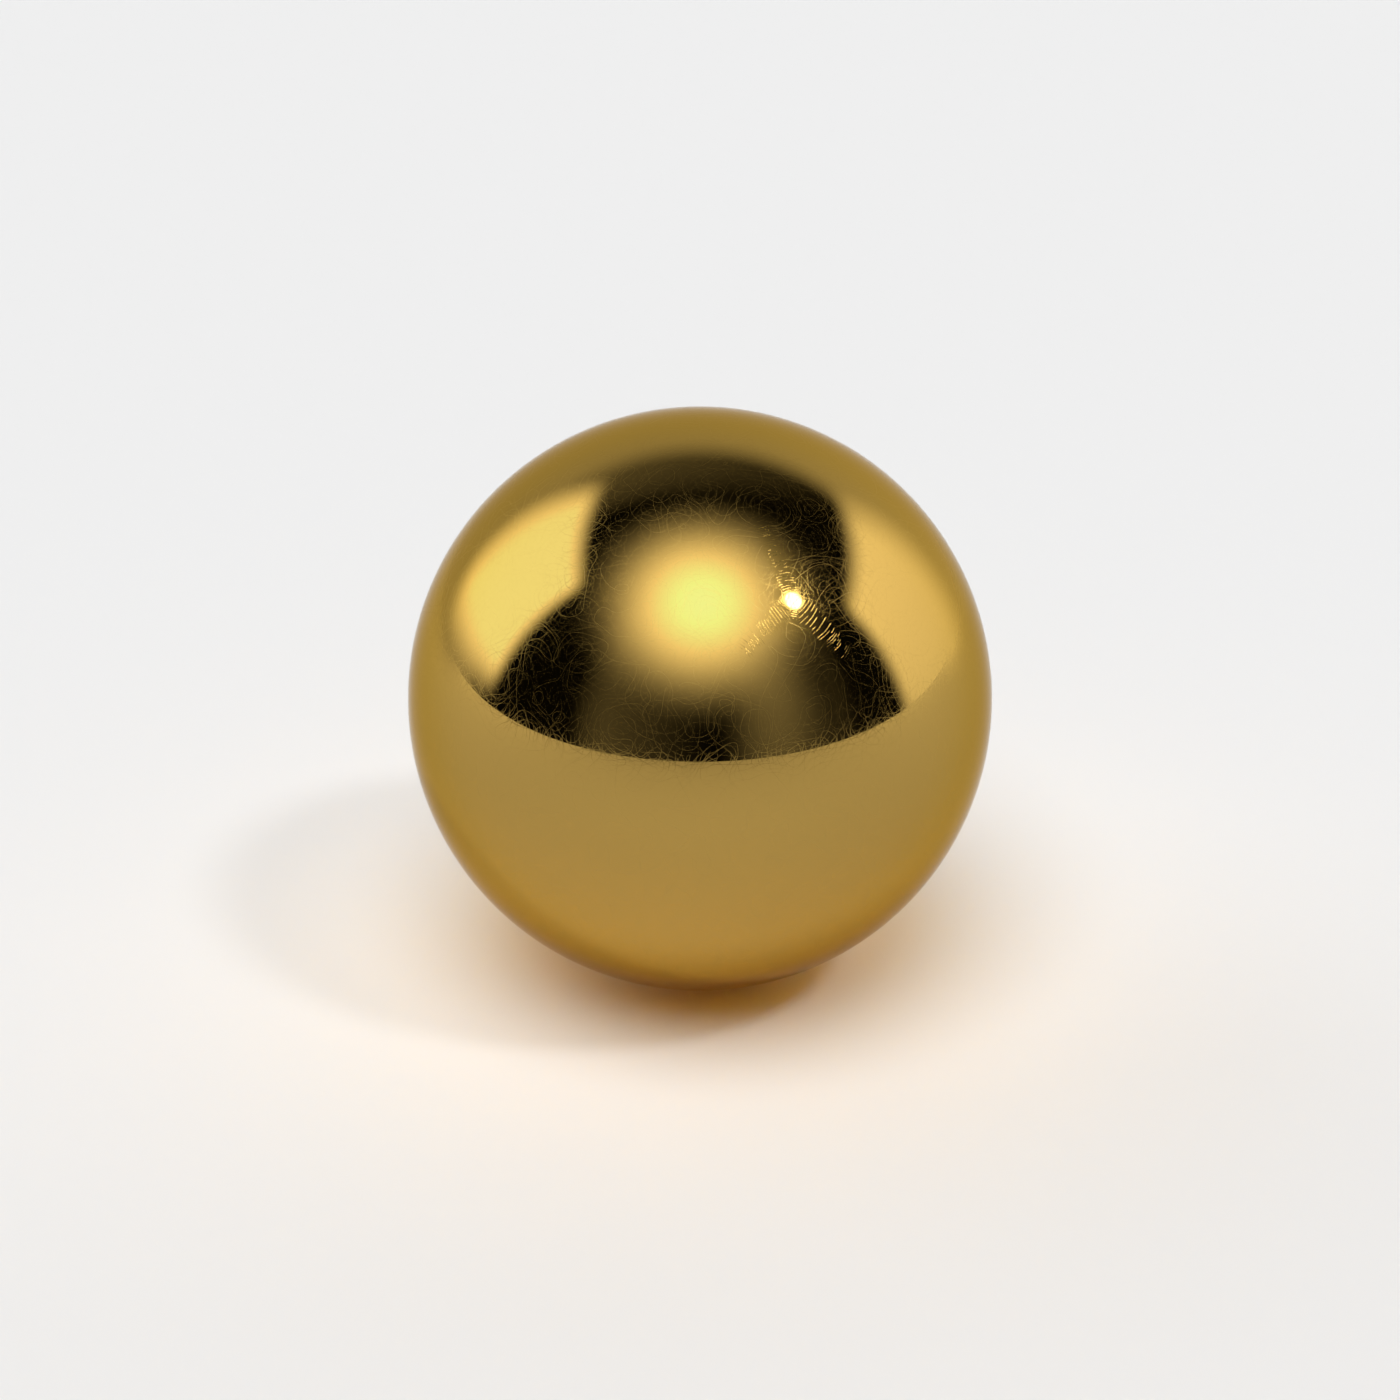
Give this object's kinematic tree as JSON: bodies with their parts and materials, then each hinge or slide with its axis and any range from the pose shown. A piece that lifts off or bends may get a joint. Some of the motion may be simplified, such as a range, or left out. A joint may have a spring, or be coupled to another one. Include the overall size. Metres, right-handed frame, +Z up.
{
  "type": "brass ball",
  "caption": "Solid polished brass ball, a plain sphere turned in one piece, for use as a weight, a rolling ball or a desk piece.",
  "frame": {"origin": "centre of the ball", "axes": "+Z up; a sphere has no other direction of its own"},
  "size_m": [0.05, 0.05, 0.05],
  "materials": {
    "brass": "mirror polished, with fine hairline scratches"
  },
  "bodies": {
    "root": {"ball": "brass"}
  },
  "joints": []
}
